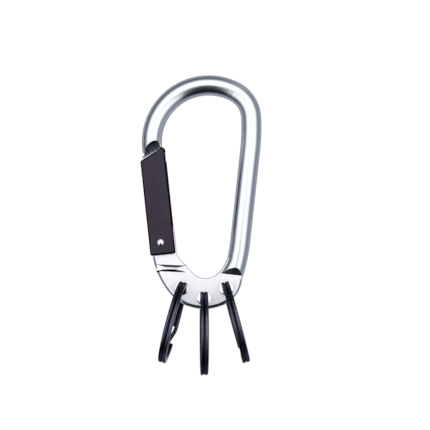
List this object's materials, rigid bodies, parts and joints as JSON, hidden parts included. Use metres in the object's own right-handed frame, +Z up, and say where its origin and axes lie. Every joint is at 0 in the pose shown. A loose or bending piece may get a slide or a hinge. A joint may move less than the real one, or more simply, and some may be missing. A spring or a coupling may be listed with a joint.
{
  "type": "carabiner keyring",
  "caption": "Asymmetric accessory carabiner with a folded sheet gate and split key rings hung from holes in its flattened base.",
  "frame": {"origin": "the point on the inside of the bow's crown where the carabiner hangs", "axes": "+Z up towards the bow, +X across the loop from the gate to the spine, +Y through the thickness, away from the viewed side"},
  "size_m": [0.0413, 0.0284, 0.1026],
  "materials": {
    "satin_aluminium": "satin anodised, flats brighter than the round bar",
    "black_aluminium": "matte black anodised sheet",
    "bright_steel": "peened, bright",
    "spring_steel": "drawn wire",
    "black_ring_steel": "gloss black plated wire"
  },
  "bodies": {
    "carabiner": {"carabiner_body": "satin_aluminium", "gate_spring": "spring_steel"},
    "gate": {"gate": "black_aluminium", "gate_rivet": "bright_steel"},
    "plunger": {"spring_plunger": "bright_steel"},
    "left_ring": {"left_ring": "black_ring_steel"},
    "centre_ring": {"centre_ring": "black_ring_steel"},
    "right_ring": {"right_ring": "black_ring_steel"}
  },
  "joints": [
    {"name": "gate_hinge", "type": "hinge", "parent": "carabiner", "child": "gate", "pos_m": [-0.01636, 0, -0.05023], "axis": [0, 1, 0], "range_deg": [0, 25], "stiffness_Nm_per_rad": 0.12, "springref_deg": -17.19, "deforming": ["gate_spring"]},
    {"name": "plunger_slide", "type": "slide", "parent": "carabiner", "child": "plunger", "axis": [0.9943, 0, 0.1063], "range_m": [0, 0.0015]},
    {"name": "left_ring_swing", "type": "hinge", "parent": "carabiner", "child": "left_ring", "pos_m": [-0.00925, 0, -0.06589], "axis": [0, 1, 0], "range_deg": [-14.5, 60]},
    {"name": "centre_ring_swing", "type": "hinge", "parent": "carabiner", "child": "centre_ring", "pos_m": [-0.0016, 0, -0.0693], "axis": [0, 1, 0], "range_deg": [-7, 7]},
    {"name": "right_ring_swing", "type": "hinge", "parent": "carabiner", "child": "right_ring", "pos_m": [0.00605, 0, -0.06589], "axis": [0, 1, 0], "range_deg": [-60, 15]}
  ],
  "couplings": [
    {"joint": "plunger_slide", "follows": "gate_hinge", "m_per_rad": 0.00335}
  ]
}
